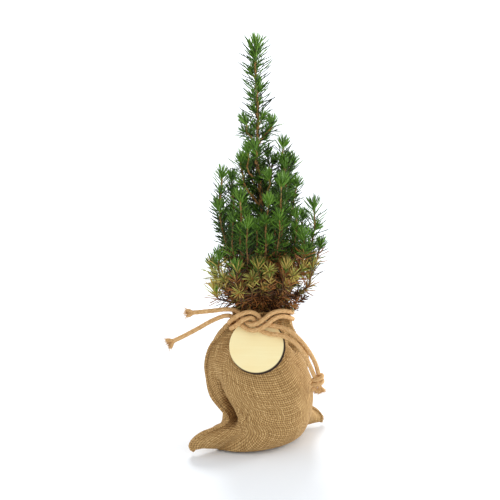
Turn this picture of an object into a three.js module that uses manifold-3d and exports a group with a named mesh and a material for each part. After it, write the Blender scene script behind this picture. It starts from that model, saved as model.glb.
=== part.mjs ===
// Dwarf spruce sapling on its root ball, in a jute drawstring bag with a blank round wooden tag.
// Millimetres, +Z up. The origin is the middle of the bag's flat underside, on the floor.
// -Y is the front, where the tag hangs; azimuths are in degrees from +X, counter-clockwise.
import * as THREE from 'three';
import { mergeVertices } from 'three/addons/utils/BufferGeometryUtils.js';
import Module from 'manifold-3d';

const wasm = await Module();
wasm.setup();

// ---------- driving dimensions ----------

const CLEARANCE = 0.3; // left between pieces that touch

// Jute bag: widths of the filled bag at named heights, and the mouth that the cord draws in.
const BAG_HEIGHT = 124;
const BAG_WALL = 1.5;
const BAG_SIDES = 24;
const BAG_STEPS = 11;
const BAG_SECTIONS = [
  // z, the middle in X, the half width in X and the half depth in Y
  { z: 0, middle: 1, wide: 36, deep: 34 },
  { z: 14, middle: 3, wide: 42.5, deep: 41 },
  { z: 36, middle: 2.5, wide: 44, deep: 43.5 },
  { z: 58, middle: -2.5, wide: 46.5, deep: 44.5 },
  { z: 76, middle: -5, wide: 43.5, deep: 41 },
  { z: 92, middle: -5, wide: 37, deep: 32.5 },
  { z: 106, middle: -3.5, wide: 31, deep: 23 },
  { z: 117, middle: 1.7, wide: 24.5, deep: 16.5 },
  { z: 124, middle: 1.7, wide: 26, deep: 18 },
];
const PLEATS = 8;
const PLEAT_DEPTH = 1.1;
const PLEATS_FROM = 95; // height where the cloth starts to gather, and where it is fully gathered
const PLEATS_FULL = 112;

// The two bottom corners of the flat-sewn bag stick out as ears along the seam's direction.
const EAR_THICK = 9;
const EAR_TIP = 1.5; // half width at an ear's tip
const EAR_TIP_THICK = 1.6; // an ear's tip is this much thicker than it is wide
const EAR_STAND = 1.2; // how much taller than wide an ear's cloth stands
const EARS = [
  { azimuth: 210, from: 30, tip: 70, tipHeight: 6, height: 12, wide: 21 },
  { azimuth: 33, from: 30, tip: 63, tipHeight: 4.5, height: 9, wide: 18 },
];

// Root ball inside the bag.
const ROOT_BALL_TOP = 92;

// Drawstring: four strands, two out of each side of the hem, crossed in a half knot at the front.
const CORD_DIAMETER = 3.7;
const CORD_SIDES = 8;
const CORD_STEPS = 20;
const STRANDS = {
  drawstring_right_upper: [
    [26.4, -9.8, 121.8], [22.6, -15.4, 124.8], [15.5, -20.8, 127], [8, -25.8, 126.6],
    [2, -30.2, 123.4], [-4, -32.6, 120], [-9.4, -31, 118.2], [-13.4, -26.8, 119.2],
    [-17.2, -22.2, 122], [-22, -18.6, 126.4], [-30, -20, 128.2], [-44, -23, 127.8],
    [-61.5, -24, 126.4],
  ],
  drawstring_right_lower: [
    [26.8, -10.6, 116.2], [22.8, -16.6, 119.8], [16, -21.8, 122.4], [9.4, -26.8, 121.6],
    [4, -31.2, 118.2], [-2, -33.2, 115.2], [-8.4, -32, 113.4], [-13.4, -28.6, 114],
    [-18.2, -27.1, 117.1], [-22.8, -21.4, 120.8], [-30, -20.6, 122.8], [-42, -24.2, 119.8],
    [-55, -27, 113.2], [-67, -29, 107.2], [-78, -30, 102],
  ],
  drawstring_left_upper: [
    [-24, -12, 114], [-28, -19.8, 116.4], [-26, -26.8, 121], [-18.4, -30, 127.2],
    [-9.8, -28.6, 128.8], [-3.8, -27.2, 125.4], [-0.6, -26.6, 120.2], [4.4, -26.6, 116.6],
    [12, -27.8, 115.6], [22, -31.6, 113.6], [31, -33, 106.6], [39.5, -31, 95], [46, -27.6, 81.6],
    [49, -25, 70.4],
  ],
  drawstring_left_lower: [
    [-25.6, -15, 109.4], [-26.4, -22.6, 112], [-22.6, -30.2, 117], [-15, -30.6, 123],
    [-8.8, -28.6, 123.4], [-5.4, -27.4, 118.6], [-1.6, -29, 112.8], [6, -30.6, 109.9],
    [16, -32.6, 109.2], [26, -35.4, 105.2], [34.5, -34.6, 95.4], [40.6, -31.2, 82],
    [45, -27.4, 70.2],
  ],
};
const KNOT = { x: 48.2, y: -25.8, z: 62.9, wide: 6.4, deep: 5.2, high: 6.6 };

// Wooden tag: a plain disc that leans on the front of the bag, with its cord hole at the top.
const TAG_DIAMETER = 48;
const TAG_THICK = 3;
const TAG_LEAN = 28;
const TAG_CENTRE = { x: -4, y: -31.9, z: 98.7 };
const TAG_HOLE = 4;
const TAG_HOLE_INSET = 5;

// Trunk: its lean as sideways places up the height, and its radii.
const TRUNK_FOOT = ROOT_BALL_TOP + CLEARANCE;
const TRUNK_TIP = 352;
const TRUNK_LEAN = [
  { z: TRUNK_FOOT, x: 0 },
  { z: 185, x: 0 },
  { z: 224, x: -1 },
  { z: 257, x: -4.7 },
  { z: 290, x: -3.5 },
  { z: 334, x: -6 },
  { z: TRUNK_TIP, x: -5.4 },
];
const TRUNK_RADIUS = 3.3;
const TRUNK_TIP_RADIUS = 0.8;
const ROOT_FLARE = 2.6;
const ROOT_FLARE_HEIGHT = 7;

// Limbs. Each leaves the trunk at height foot, sweeps out to reach and turns up to top.
// enter is how far along the limb its foliage begins, girth is the foliage's half width.
const BOUGH_RADIUS = 1.5;
const BOUGH_TIP_RADIUS = 0.8;
const LIMBS = [
  // name, azimuth, reach, foot, top, enter, girth, whether a bough shows below its foliage
  ['crest_left', 180, 10.5, 268, 296, 0.12, 9, false],
  ['crest_right', 0, 18, 258, 300, 0.15, 9.5, false],
  ['crest_front', 255, 11, 246, 277, 0.12, 12, false],
  ['upper_left', 192, 16.5, 214, 264, 0.3, 10.5, true],
  ['upper_right', 12, 19, 198, 276, 0.3, 11, true],
  ['upper_right_back', 27, 28, 186, 257, 0.35, 10, false],
  ['left_tall', 184, 34.5, 130, 250, 0.18, 12, true],
  ['left_back', 155, 27, 150, 245, 0.24, 11.5, true],
  ['front_left', 232, 31, 136, 239, 0.22, 12.5, true],
  ['front_right', 307, 28, 142, 249, 0.22, 13, true],
  ['front_middle', 279, 27, 150, 233, 0.28, 11.5, true],
  ['right_inner', 337, 31, 150, 218, 0.25, 10.5, false],
  ['right_back', 18, 38, 142, 209, 0.22, 11.5, true],
  ['right_tall', 0, 45, 132, 222, 0.18, 11.5, true],
  ['right_front', 334, 41, 133, 201, 0.22, 11.5, true],
  ['right_low', 346, 45, 127, 172, 0.22, 11, true],
  ['left_low', 198, 38, 130, 181, 0.22, 12, true],
  ['left_far', 179, 43, 126, 170, 0.26, 11, true],
  ['left_foot', 193, 40, 124, 152, 0.3, 9.5, true],
  ['skirt_left', 233, 34, 126, 176, 0.1, 14, false],
  ['skirt_front', 266, 29, 127, 178, 0.1, 14, false],
  ['skirt_right', 309, 32, 127, 176, 0.1, 14, false],
  ['back_high_left', 124, 25, 162, 234, 0.22, 12.5, true],
  ['back_high_right', 50, 26, 166, 240, 0.22, 12.5, true],
  ['back_middle', 88, 30, 144, 206, 0.22, 13.5, true],
  ['back_left', 130, 40, 130, 189, 0.2, 13.5, true],
  ['back_right', 44, 41, 130, 188, 0.2, 13.5, true],
  ['back_low', 86, 40, 126, 170, 0.2, 13.5, true],
].map(([name, azimuth, reach, foot, top, enter, girth, bough]) => (
  { name, azimuth, reach, foot, top, enter, girth, bough }));
const LIMB_SWEEP = 3.2; // how early a limb turns upright
// One twig has lost its needles.
const BARE_TWIG = { name: 'right_foot', azimuth: 331, reach: 41, foot: 126, top: 139, enter: 0.9 };

// The leader's own foliage, in two lengths round the trunk.
const LEADER = [
  { name: 'leader_top', foot: 298, top: 363, girth: 11.5 },
  { name: 'leader_middle', foot: 238, top: 306, girth: 12 },
];
const MASS_SIDES = 7;
const MASS_STEPS = 5;
const LIMB_SIDES = 5;
const LIMB_STEPS = 3;
const BOUGH_INTO_MASS = 0.06; // share of a limb that its bough runs on inside its foliage
const CUTTER_REACH = 0.02; // share by which the space kept for a bough outruns the bough

// ---------- materials ----------

const paint = (color, roughness) => new THREE.MeshStandardMaterial({ color, roughness, metalness: 0 });
const JUTE = paint(0x9a7f58, 0.95);
const SOIL = paint(0x3a2c20, 1);
const CORD = paint(0xb7966a, 0.9);
const WOOD = paint(0xe6d6b0, 0.6);
const BARK = paint(0x7d5f41, 0.9);
const NEEDLES = paint(0x2f5b2c, 0.8);
const OLD_NEEDLES = paint(0x6f5a2e, 0.85);
const OLD_NEEDLE_HEIGHT = 172; // limbs that end lower carry olive and brown needles

// ---------- solids ----------

const group = new THREE.Group();

function addMesh(name, geometry, material) {
  const mesh = new THREE.Mesh(geometry, material);
  mesh.name = name;
  group.add(mesh);
  return mesh;
}

function merged(geometry) {
  const bare = geometry.clone();
  bare.deleteAttribute('normal');
  bare.deleteAttribute('uv');
  return mergeVertices(bare, 1e-4);
}

function solidOf(geometry) {
  const shape = merged(geometry);
  return new wasm.Manifold(new wasm.Mesh({
    numProp: 3,
    vertProperties: new Float32Array(shape.attributes.position.array),
    triVerts: new Uint32Array(shape.index.array),
  }));
}

function geometryOf(solid) {
  const mesh = solid.getMesh();
  const geometry = new THREE.BufferGeometry();
  geometry.setAttribute('position', new THREE.BufferAttribute(mesh.vertProperties, 3));
  geometry.setIndex(new THREE.BufferAttribute(mesh.triVerts, 1));
  geometry.computeVertexNormals();
  return geometry;
}

// The largest body of what a cut leaves.
function largest(solid) {
  const bodies = solid.decompose();
  return bodies.reduce((best, body) => (body.volume() > best.volume() ? body : best));
}

const smooth = (a, b, t) => a + (b - a) * t * t * (3 - 2 * t);

// A value read from named heights, eased between them.
function readAt(rows, key, z) {
  const last = rows.length - 1;
  const next = Math.min(last, Math.max(1, rows.findIndex((row) => row.z >= z)));
  const above = z > rows[last].z ? rows[last] : rows[next];
  const below = rows[next - 1];
  const share = THREE.MathUtils.clamp((z - below.z) / (rows[next].z - below.z), 0, 1);
  return THREE.MathUtils.lerp(below[key], above[key], share);
}

// Rounded reading for the bag: a curve through the named heights instead of straight runs.
function curveOf(rows, key) {
  const curve = new THREE.CatmullRomCurve3(
    rows.map((row) => new THREE.Vector3(row[key], 0, row.z)), false, 'catmullrom', 0.5);
  const samples = curve.getPoints(120).map((p) => ({ z: p.z, value: p.x }));
  return (z) => readAt(samples, 'value', z);
}

// A closed skin of rings along a line: a lathe turned from a unit profile, then carried ring by ring.
// blunt keeps flat ends, otherwise both ends close to a point.
function sweep({ centre, side, radius, sides, steps, blunt }) {
  const profile = [new THREE.Vector2(0, 0)];
  const first = blunt ? 0 : 1;
  for (let i = first; i <= steps - first; i += 1) {
    profile.push(new THREE.Vector2(1, i / steps));
  }
  profile.push(new THREE.Vector2(0, 1));
  const geometry = merged(new THREE.LatheGeometry(profile, sides));
  const place = geometry.attributes.position;
  for (let i = 0; i < place.count; i += 1) {
    const t = place.getY(i);
    const onAxis = Math.hypot(place.getX(i), place.getZ(i)) < 0.5;
    const angle = Math.atan2(place.getX(i), place.getZ(i));
    const along = centre(Math.min(1, t + 0.01)).sub(centre(Math.max(0, t - 0.01))).normalize();
    const across = new THREE.Vector3().crossVectors(side, along).normalize();
    const reach = onAxis ? 0 : radius(t, angle);
    const point = centre(t)
      .addScaledVector(across, reach * Math.cos(angle))
      .addScaledVector(side, reach * Math.sin(angle));
    place.setXYZ(i, point.x, point.y, point.z);
  }
  return geometry;
}

// Outward-facing solid, whichever way its rings were turned.
function outward(geometry) {
  const solid = solidOf(geometry);
  if (solid.volume() > 0) {
    return solid;
  }
  const flipped = geometry.clone();
  const index = Array.from(flipped.index.array);
  for (let i = 0; i < index.length; i += 3) {
    [index[i + 1], index[i + 2]] = [index[i + 2], index[i + 1]];
  }
  flipped.setIndex(index);
  return solidOf(flipped);
}

// ---------- bag and root ball ----------

const bagMiddle = curveOf(BAG_SECTIONS, 'middle');
const bagWide = curveOf(BAG_SECTIONS, 'wide');
const bagDeep = curveOf(BAG_SECTIONS, 'deep');

// The bag's shape taken in by inset, between two heights, with pleats where the cord draws it in.
function bagForm(inset, low, high) {
  const form = new THREE.LatheGeometry(
    [
      new THREE.Vector2(0, 0),
      ...Array.from({ length: BAG_STEPS + 1 }, (_, i) => new THREE.Vector2(1, i / BAG_STEPS)),
      new THREE.Vector2(0, 1),
    ],
    BAG_SIDES);
  const geometry = merged(form);
  const place = geometry.attributes.position;
  for (let i = 0; i < place.count; i += 1) {
    const z = THREE.MathUtils.lerp(low, high, place.getY(i));
    const drawn = THREE.MathUtils.smoothstep(z, PLEATS_FROM, PLEATS_FULL);
    const angle = Math.atan2(place.getZ(i), place.getX(i));
    const pleat = PLEAT_DEPTH * drawn * Math.cos(PLEATS * angle);
    const x = bagMiddle(z) + place.getX(i) * (bagWide(z) - inset + pleat);
    const y = place.getZ(i) * (bagDeep(z) - inset + pleat);
    place.setXYZ(i, x, y, z);
  }
  return outward(geometry);
}

// An ear: a flat tapered wedge from inside the bag to a blunt tip near the floor.
function ear({ azimuth, from, tip, tipHeight, height, wide }) {
  const length = tip - from;
  const cone = new THREE.CylinderGeometry(EAR_TIP, wide, length, 12, 3);
  cone.rotateZ(-Math.PI / 2);
  cone.translate(from + length / 2, 0, 0);
  const place = cone.attributes.position;
  for (let i = 0; i < place.count; i += 1) {
    const out = (place.getX(i) - from) / length;
    const rise = smooth(height, tipHeight, out);
    const thick = THREE.MathUtils.lerp(EAR_THICK / wide, EAR_TIP_THICK, out) / 2;
    place.setXYZ(i, place.getX(i), place.getY(i) * thick, place.getZ(i) * EAR_STAND + rise);
  }
  cone.rotateZ(THREE.MathUtils.degToRad(azimuth));
  const floor = new THREE.BoxGeometry(200, 200, 100);
  floor.translate(0, 0, -50);
  return outward(merged(cone)).subtract(solidOf(floor));
}

let bag = bagForm(0, 0, BAG_HEIGHT);
for (const size of EARS) {
  bag = bag.add(ear(size));
}
bag = largest(bag.subtract(bagForm(BAG_WALL, BAG_WALL, BAG_HEIGHT + 1)));
addMesh('bag', geometryOf(bag), JUTE);

const rootBall = bagForm(BAG_WALL + 2.5 * CLEARANCE, BAG_WALL + CLEARANCE, ROOT_BALL_TOP);
addMesh('root_ball', geometryOf(rootBall), SOIL);

// ---------- drawstring and tag ----------

function cordSolid(points, radius) {
  const route = new THREE.CatmullRomCurve3(points.map((p) => new THREE.Vector3(...p)));
  const section = new THREE.Shape();
  for (let i = 0; i < CORD_SIDES; i += 1) {
    const angle = (2 * Math.PI * i) / CORD_SIDES;
    section[i === 0 ? 'moveTo' : 'lineTo'](radius * Math.cos(angle), radius * Math.sin(angle));
  }
  return new THREE.ExtrudeGeometry(section, { steps: CORD_STEPS, extrudePath: route });
}

for (const [name, points] of Object.entries(STRANDS)) {
  addMesh(name, cordSolid(points, CORD_DIAMETER / 2), CORD);
}

// The knot that joins the two right-hand ends, with their frayed tuft below it.
const knotProfile = [
  new THREE.Vector2(0, -1.75),
  new THREE.Vector2(0.62, -1.7),
  new THREE.Vector2(0.55, -1.05),
  new THREE.Vector2(0.9, -0.55),
  new THREE.Vector2(1, 0),
  new THREE.Vector2(0.8, 0.6),
  new THREE.Vector2(0.45, 0.9),
  new THREE.Vector2(0, 1),
];
const knot = new THREE.LatheGeometry(knotProfile, 12);
knot.rotateX(Math.PI / 2);
knot.scale(KNOT.wide, KNOT.deep, KNOT.high);
knot.translate(KNOT.x, KNOT.y, KNOT.z);
addMesh('drawstring_knot', knot, CORD);

const disc = new THREE.Shape();
disc.absarc(0, 0, TAG_DIAMETER / 2, 0, 2 * Math.PI);
const hole = new THREE.Path();
hole.absarc(0, TAG_DIAMETER / 2 - TAG_HOLE_INSET, TAG_HOLE / 2, 0, 2 * Math.PI);
disc.holes.push(hole);
const tag = new THREE.ExtrudeGeometry(disc, { depth: TAG_THICK, bevelEnabled: false, curveSegments: 16 });
tag.translate(0, 0, -TAG_THICK / 2);
tag.rotateX(THREE.MathUtils.degToRad(90 - TAG_LEAN));
tag.translate(TAG_CENTRE.x, TAG_CENTRE.y, TAG_CENTRE.z);
addMesh('wooden_tag', tag, WOOD);

// ---------- trunk ----------

const trunkCurve = curveOf(TRUNK_LEAN, 'x');
const trunkAt = (z) => new THREE.Vector3(trunkCurve(z), 0, z);
const trunkHeight = (t) => THREE.MathUtils.lerp(TRUNK_FOOT, TRUNK_TIP, t);

function trunkRadius(z) {
  const up = (z - TRUNK_FOOT) / (TRUNK_TIP - TRUNK_FOOT);
  const flare = ROOT_FLARE * Math.exp(-(z - TRUNK_FOOT) / ROOT_FLARE_HEIGHT);
  return THREE.MathUtils.lerp(TRUNK_RADIUS, TRUNK_TIP_RADIUS, Math.pow(up, 0.8)) + flare;
}

function trunkSolid(grow) {
  return outward(sweep({
    centre: (t) => trunkAt(trunkHeight(t) + (t === 1 ? grow : 0)),
    side: new THREE.Vector3(0, 1, 0),
    radius: (t) => trunkRadius(trunkHeight(t)) + grow,
    sides: 8,
    steps: 20,
    blunt: true,
  }));
}

addMesh('trunk', geometryOf(trunkSolid(0)), BARK);

// ---------- limbs ----------

// A limb's middle line, from the trunk at share 0 to its tip at share 1.
function limbAt(limb, share) {
  const azimuth = THREE.MathUtils.degToRad(limb.azimuth);
  const out = limb.reach * (1 - Math.pow(1 - share, LIMB_SWEEP));
  const root = trunkAt(limb.foot);
  return new THREE.Vector3(
    root.x + out * Math.cos(azimuth),
    root.y + out * Math.sin(azimuth),
    THREE.MathUtils.lerp(limb.foot, limb.top, share));
}

function limbSide(limb) {
  const azimuth = THREE.MathUtils.degToRad(limb.azimuth);
  return new THREE.Vector3(-Math.sin(azimuth), Math.cos(azimuth), 0);
}

function boughSolid(limb, end, grow) {
  const reachOver = grow > 0 ? CUTTER_REACH : 0;
  return outward(sweep({
    centre: (t) => limbAt(limb, THREE.MathUtils.lerp(0, end + reachOver, t)),
    side: limbSide(limb),
    radius: (t) => THREE.MathUtils.lerp(BOUGH_RADIUS, BOUGH_TIP_RADIUS, t) + grow,
    sides: LIMB_SIDES,
    steps: LIMB_STEPS,
    blunt: true,
  }));
}

// Uneven roundness of a foliage mass: every mass gets its own lobes from its number.
function lobes(number, t, angle) {
  const turn = number * 2.4;
  return 1
    + 0.12 * Math.sin(2 * angle + turn)
    + 0.09 * Math.sin(3 * angle + 1.7 * turn + 5 * t)
    + 0.07 * Math.sin(8 * t + 3.1 * turn);
}

// Half width along a mass: quick to fill out, slow to taper to its tip.
const spindle = (t) => 1.62 * Math.pow(t, 0.38) * Math.pow(1 - t, 0.55) * (1 + 0.25 * (1 - t));

function massSolid(number, girth, centre, side, grow) {
  return outward(sweep({
    centre,
    side,
    radius: (t, angle) => girth * spindle(t) * lobes(number, t, angle) + grow,
    sides: MASS_SIDES,
    steps: MASS_STEPS,
    blunt: false,
  }));
}

const masses = [
  ...LEADER.map((part) => ({
    name: part.name,
    girth: part.girth,
    top: part.top,
    side: new THREE.Vector3(0, 1, 0),
    centre: (t) => {
      const z = THREE.MathUtils.lerp(part.foot, part.top, t);
      return trunkAt(Math.min(z, TRUNK_TIP)).setZ(z);
    },
  })),
  ...LIMBS.map((limb) => ({
    name: limb.name,
    girth: limb.girth,
    top: limb.top,
    side: limbSide(limb),
    centre: (t) => limbAt(limb, THREE.MathUtils.lerp(limb.enter, 1, t)),
  })),
];

const boughLimbs = LIMBS.filter((limb) => limb.bough);
const boughEnd = (limb) => limb.enter + BOUGH_INTO_MASS;
const grownTrunk = trunkSolid(CLEARANCE);

// Boughs, each cut round the trunk and round the boughs before it.
const takenBoughs = [];
for (const limb of [...boughLimbs, BARE_TWIG]) {
  let solid = boughSolid(limb, boughEnd(limb), 0).subtract(grownTrunk);
  for (const other of takenBoughs) {
    solid = solid.subtract(other);
  }
  addMesh(`bough_${limb.name}`, geometryOf(largest(solid)), BARK);
  takenBoughs.push(boughSolid(limb, boughEnd(limb), CLEARANCE));
}

// Foliage masses, each cut round the trunk, the boughs, the bag's mouth and the masses before it.
const mouth = bagForm(-CLEARANCE, ROOT_BALL_TOP, BAG_HEIGHT + CLEARANCE);
const takenMasses = [];
masses.forEach((mass, number) => {
  let solid = massSolid(number, mass.girth, mass.centre, mass.side, 0).subtract(grownTrunk);
  for (const other of [mouth, ...takenBoughs, ...takenMasses]) {
    solid = solid.subtract(other);
  }
  const material = mass.top < OLD_NEEDLE_HEIGHT ? OLD_NEEDLES : NEEDLES;
  addMesh(`foliage_${mass.name}`, geometryOf(largest(solid)), material);
  takenMasses.push(massSolid(number, mass.girth, mass.centre, mass.side, CLEARANCE));
});

export default group;
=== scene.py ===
import math
import random

import bmesh
import bpy
import numpy as np
from mathutils import Matrix, Vector


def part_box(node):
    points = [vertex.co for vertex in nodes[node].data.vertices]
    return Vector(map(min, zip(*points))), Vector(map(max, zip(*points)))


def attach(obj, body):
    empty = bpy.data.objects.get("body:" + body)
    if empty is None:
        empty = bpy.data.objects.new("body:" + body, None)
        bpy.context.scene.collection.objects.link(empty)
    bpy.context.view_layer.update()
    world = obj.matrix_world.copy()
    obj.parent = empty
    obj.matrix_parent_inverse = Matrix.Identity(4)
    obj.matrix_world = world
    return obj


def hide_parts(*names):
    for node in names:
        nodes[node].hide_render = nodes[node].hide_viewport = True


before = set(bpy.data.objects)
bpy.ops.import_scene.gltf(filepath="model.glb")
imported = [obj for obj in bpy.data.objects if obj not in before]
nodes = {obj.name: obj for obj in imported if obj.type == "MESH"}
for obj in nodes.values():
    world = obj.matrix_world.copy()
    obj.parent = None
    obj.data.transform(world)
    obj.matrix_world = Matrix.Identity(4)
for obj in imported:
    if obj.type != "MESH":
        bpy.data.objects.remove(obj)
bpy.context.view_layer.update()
scene = bpy.context.scene

# ---------- floor, light and camera ----------
# The plant stands on a seamless white studio floor. A strong light behind and a weaker one low on
# the right shape it, and a bright surround leaves only a faint shadow under the bag.

CAMERA_HEIGHT_ANGLE = math.radians(17)
CAMERA_DISTANCE = 1.5
CAMERA_LENS = 125.6
LOOK_AT = Vector((-0.0103, 0, 0.1753))
SURROUND_STRENGTH = 0.86
FLOOR_COLOUR = (0.89, 0.93, 0.975, 1)
WHITE = (1, 1, 1, 1)


def put_in_scene(name, data):
    """A new object for this mesh, lamp or camera, placed at the origin."""
    made = bpy.data.objects.new(name, data)
    scene.collection.objects.link(made)
    return made


def shaped(name, form):
    """A new object made from a finished bmesh, which is used up."""
    mesh = bpy.data.meshes.new(name)
    form.to_mesh(mesh)
    form.free()
    return put_in_scene(name, mesh)


def tint(red, green, blue):
    """A colour given by its 0 to 255 values on a screen, as the linear colour that a shader reads."""
    shares = [value / 255 for value in (red, green, blue)]
    return tuple(s / 12.92 if s <= 0.04045 else ((s + 0.055) / 1.055) ** 2.4 for s in shares) + (1.0,)


class Finish:
    """A procedural material, built node by node."""

    def __init__(self, name, roughness=0.9, gloss=0.25):
        self.material = bpy.data.materials.new(name)
        self.material.use_nodes = True
        self.tree = self.material.node_tree
        self.shader = self.tree.nodes["Principled BSDF"]
        self.shader.inputs["Roughness"].default_value = roughness
        self.shader.inputs["Specular IOR Level"].default_value = gloss

    def feed(self, value, socket):
        """Gives a socket a plain value, or links it to another node's output."""
        if isinstance(value, bpy.types.NodeSocket):
            self.tree.links.new(value, socket)
        else:
            socket.default_value = value

    def node(self, kind, inputs=None, **settings):
        made = self.tree.nodes.new(kind)
        for key, value in settings.items():
            setattr(made, key, value)
        for key, value in (inputs or {}).items():
            self.feed(value, made.inputs[key])
        return made

    def attribute(self, name, output="Vector"):
        return self.node("ShaderNodeAttribute", attribute_name=name).outputs[output]

    def stretched(self, source, scale):
        """A pattern's coordinates, stretched along its axes."""
        return self.node("ShaderNodeMapping", {"Vector": source, "Scale": scale}).outputs["Vector"]

    def noise(self, vector, stretch=None, detail=3.0, scale=1.0):
        place = self.stretched(vector, stretch) if stretch else vector
        inputs = {"Vector": place, "Scale": scale, "Detail": detail}
        return self.node("ShaderNodeTexNoise", inputs).outputs["Fac"]

    def shades(self, fac, *stops):
        """Colours along a ramp. A stop is its place and the colour's 0 to 255 values."""
        ramp = self.node("ShaderNodeValToRGB", {"Fac": fac})
        bands = ramp.color_ramp.elements
        while len(bands) < len(stops):
            bands.new(0.5)
        for band, (place, *colour) in zip(bands, stops):
            band.position = place
            band.color = tint(*colour)
        return ramp.outputs["Color"]

    def blend(self, fac, first, second, way="MIX"):
        inputs = {0: fac, 6: first, 7: second}
        return self.node("ShaderNodeMix", inputs, data_type="RGBA", blend_type=way).outputs[2]

    def sums(self, operation, first, second=0.5):
        return self.node("ShaderNodeMath", {0: first, 1: second}, operation=operation).outputs[0]

    def relief(self, height, distance, strength=1.0):
        bump = self.node("ShaderNodeBump", {"Height": height, "Distance": distance, "Strength": strength})
        self.feed(bump.outputs["Normal"], self.shader.inputs["Normal"])

    def colour(self, source):
        self.feed(source, self.shader.inputs["Base Color"])


def studio_light(name, place, energy, size):
    """A square soft light at place, turned to the middle of the plant."""
    lamp = bpy.data.lights.new(name, "AREA")
    lamp.energy = energy
    lamp.size = size
    light = put_in_scene(name, lamp)
    light.location = place
    light.rotation_euler = (LOOK_AT - Vector(place)).to_track_quat("-Z", "Y").to_euler()


studio_light("light_left", (-1.3, 0.3, 0.5), 2, 0.6)
studio_light("light_right", (1.3, 0.75, 0.28), 18, 0.5)
studio_light("light_front", (0.8, -1.0, 0.5), 2.0, 0.6)
studio_light("light_back", (-0.3, 3.0, 2.0), 70, 1.2)

scene.world = bpy.data.worlds.new("surround")
scene.world.use_nodes = True
surround = scene.world.node_tree.nodes["Background"]
surround.inputs["Color"].default_value = WHITE
surround.inputs["Strength"].default_value = SURROUND_STRENGTH
scene.view_settings.view_transform = "Standard"

floor_form = bmesh.new()
bmesh.ops.create_grid(floor_form, x_segments=1, y_segments=1, size=6)
floor = shaped("floor", floor_form)
floor_finish = Finish("floor_white", roughness=0.8, gloss=0.2)
floor_finish.colour(FLOOR_COLOUR)
floor.data.materials.append(floor_finish.material)

camera_data = bpy.data.cameras.new("camera")
camera_data.lens = CAMERA_LENS
camera = put_in_scene("camera", camera_data)
towards = Vector((0, math.cos(CAMERA_HEIGHT_ANGLE), -math.sin(CAMERA_HEIGHT_ANGLE)))
camera.location = LOOK_AT - towards * CAMERA_DISTANCE
camera.rotation_euler = towards.to_track_quat("-Z", "Y").to_euler()
scene.camera = camera

# ---------- drawstring ----------
# Soft three-ply jute cord, 3.7 mm thick, that runs in the bag's hem. Two strands come out at each
# side and cross in a half knot. The left ends are cut and frayed, the right ones share a knot.

MM = 0.001
CORD_DIAMETER = 0.0037
CORD_TWIST = 0.0125
CORD_STEP = 0.0007
PLIES = 3
PLY_GROOVE = 0.1
# The section is drawn a little wide, so that the grooved cord measures its own diameter.
ROUND_THE_PLIES = 1.07
OPENED_END = 0.0023
STRANDS = {
    "drawstring_right_upper": [
        (26.4, -9.8, 121.8), (22.6, -15.4, 124.8), (15.5, -20.8, 127), (8, -25.8, 126.6),
        (2, -30.2, 123.4), (-4, -32.6, 120), (-9.4, -31, 118.2), (-13.4, -26.8, 119.2),
        (-17.2, -22.2, 122), (-22, -18.6, 126.4), (-30, -20, 128.2), (-44, -23, 127.8),
        (-61.5, -24, 126.4),
    ],
    "drawstring_right_lower": [
        (26.8, -10.6, 116.2), (22.8, -16.6, 119.8), (16, -21.8, 122.4), (9.4, -26.8, 121.6),
        (4, -31.2, 118.2), (-2, -33.2, 115.2), (-8.4, -32, 113.4), (-13.4, -28.6, 114),
        (-18.2, -27.1, 117.1), (-22.8, -21.4, 120.8), (-30, -20.6, 122.8), (-42, -24.2, 119.8),
        (-55, -27, 113.2), (-67, -29, 107.2), (-78, -30, 102),
    ],
    "drawstring_left_upper": [
        (-24, -12, 114), (-28, -19.8, 116.4), (-26, -26.8, 121), (-18.4, -30, 127.2),
        (-9.8, -28.6, 128.8), (-3.8, -27.2, 125.4), (-0.6, -26.6, 120.2), (4.4, -26.6, 116.6),
        (12, -27.8, 115.6), (22, -31.6, 113.6), (31, -33, 106.6), (39.5, -31, 95),
        (46, -27.6, 81.6), (49, -25, 70.4),
    ],
    "drawstring_left_lower": [
        (-25.6, -15, 109.4), (-26.4, -22.6, 112), (-22.6, -30.2, 117), (-15, -30.6, 123),
        (-8.8, -28.6, 123.4), (-5.4, -27.4, 118.6), (-1.6, -29, 112.8), (6, -30.6, 109.9),
        (16, -32.6, 109.2), (26, -35.4, 105.2), (34.5, -34.6, 95.4), (40.6, -31.2, 82),
        (45, -27.4, 70.2),
    ],
}


def steps(route):
    """The distance from each point of a route to the next."""
    return np.linalg.norm(np.diff(route, axis=0), axis=1)


def route_length(route):
    return float(steps(route).sum())


def distances_along(route):
    """How far along a route each of its points lies."""
    return np.concatenate([[0], np.cumsum(steps(route))])


def unit_rows(rows):
    return rows / np.linalg.norm(rows, axis=1)[:, None]


def between(t, low, high, first, second):
    """Goes from first, where t is low, to second, where t is high."""
    return (high - t) / (high - low) * first + (t - low) / (high - low) * second


def smooth_route(points, step):
    """Points about a step apart on the smooth curve through the given ones."""
    points = np.array(points, float)
    ends = np.vstack([2 * points[0] - points[1], points, 2 * points[-1] - points[-2]])
    knots = np.concatenate([[0], np.cumsum(np.sqrt(steps(ends)))])
    route = []
    for i in range(1, len(ends) - 2):
        a, b, c, d = ends[i - 1:i + 3]
        ta, tb, tc, td = knots[i - 1:i + 3]
        count = max(2, round(np.linalg.norm(c - b) / step))
        t = np.linspace(tb, tc, count, endpoint=False)[:, None]
        bc = between(t, tb, tc, b, c)
        abc = between(t, ta, tc, between(t, ta, tb, a, b), bc)
        bcd = between(t, tb, td, bc, between(t, tc, td, c, d))
        route.append(between(t, tb, tc, abc, bcd))
    return np.vstack([*route, points[-1:]])


def new_points(made):
    """The vertices among the geometry that a bmesh operator made."""
    return [part for part in made if isinstance(part, bmesh.types.BMVert)]


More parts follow.
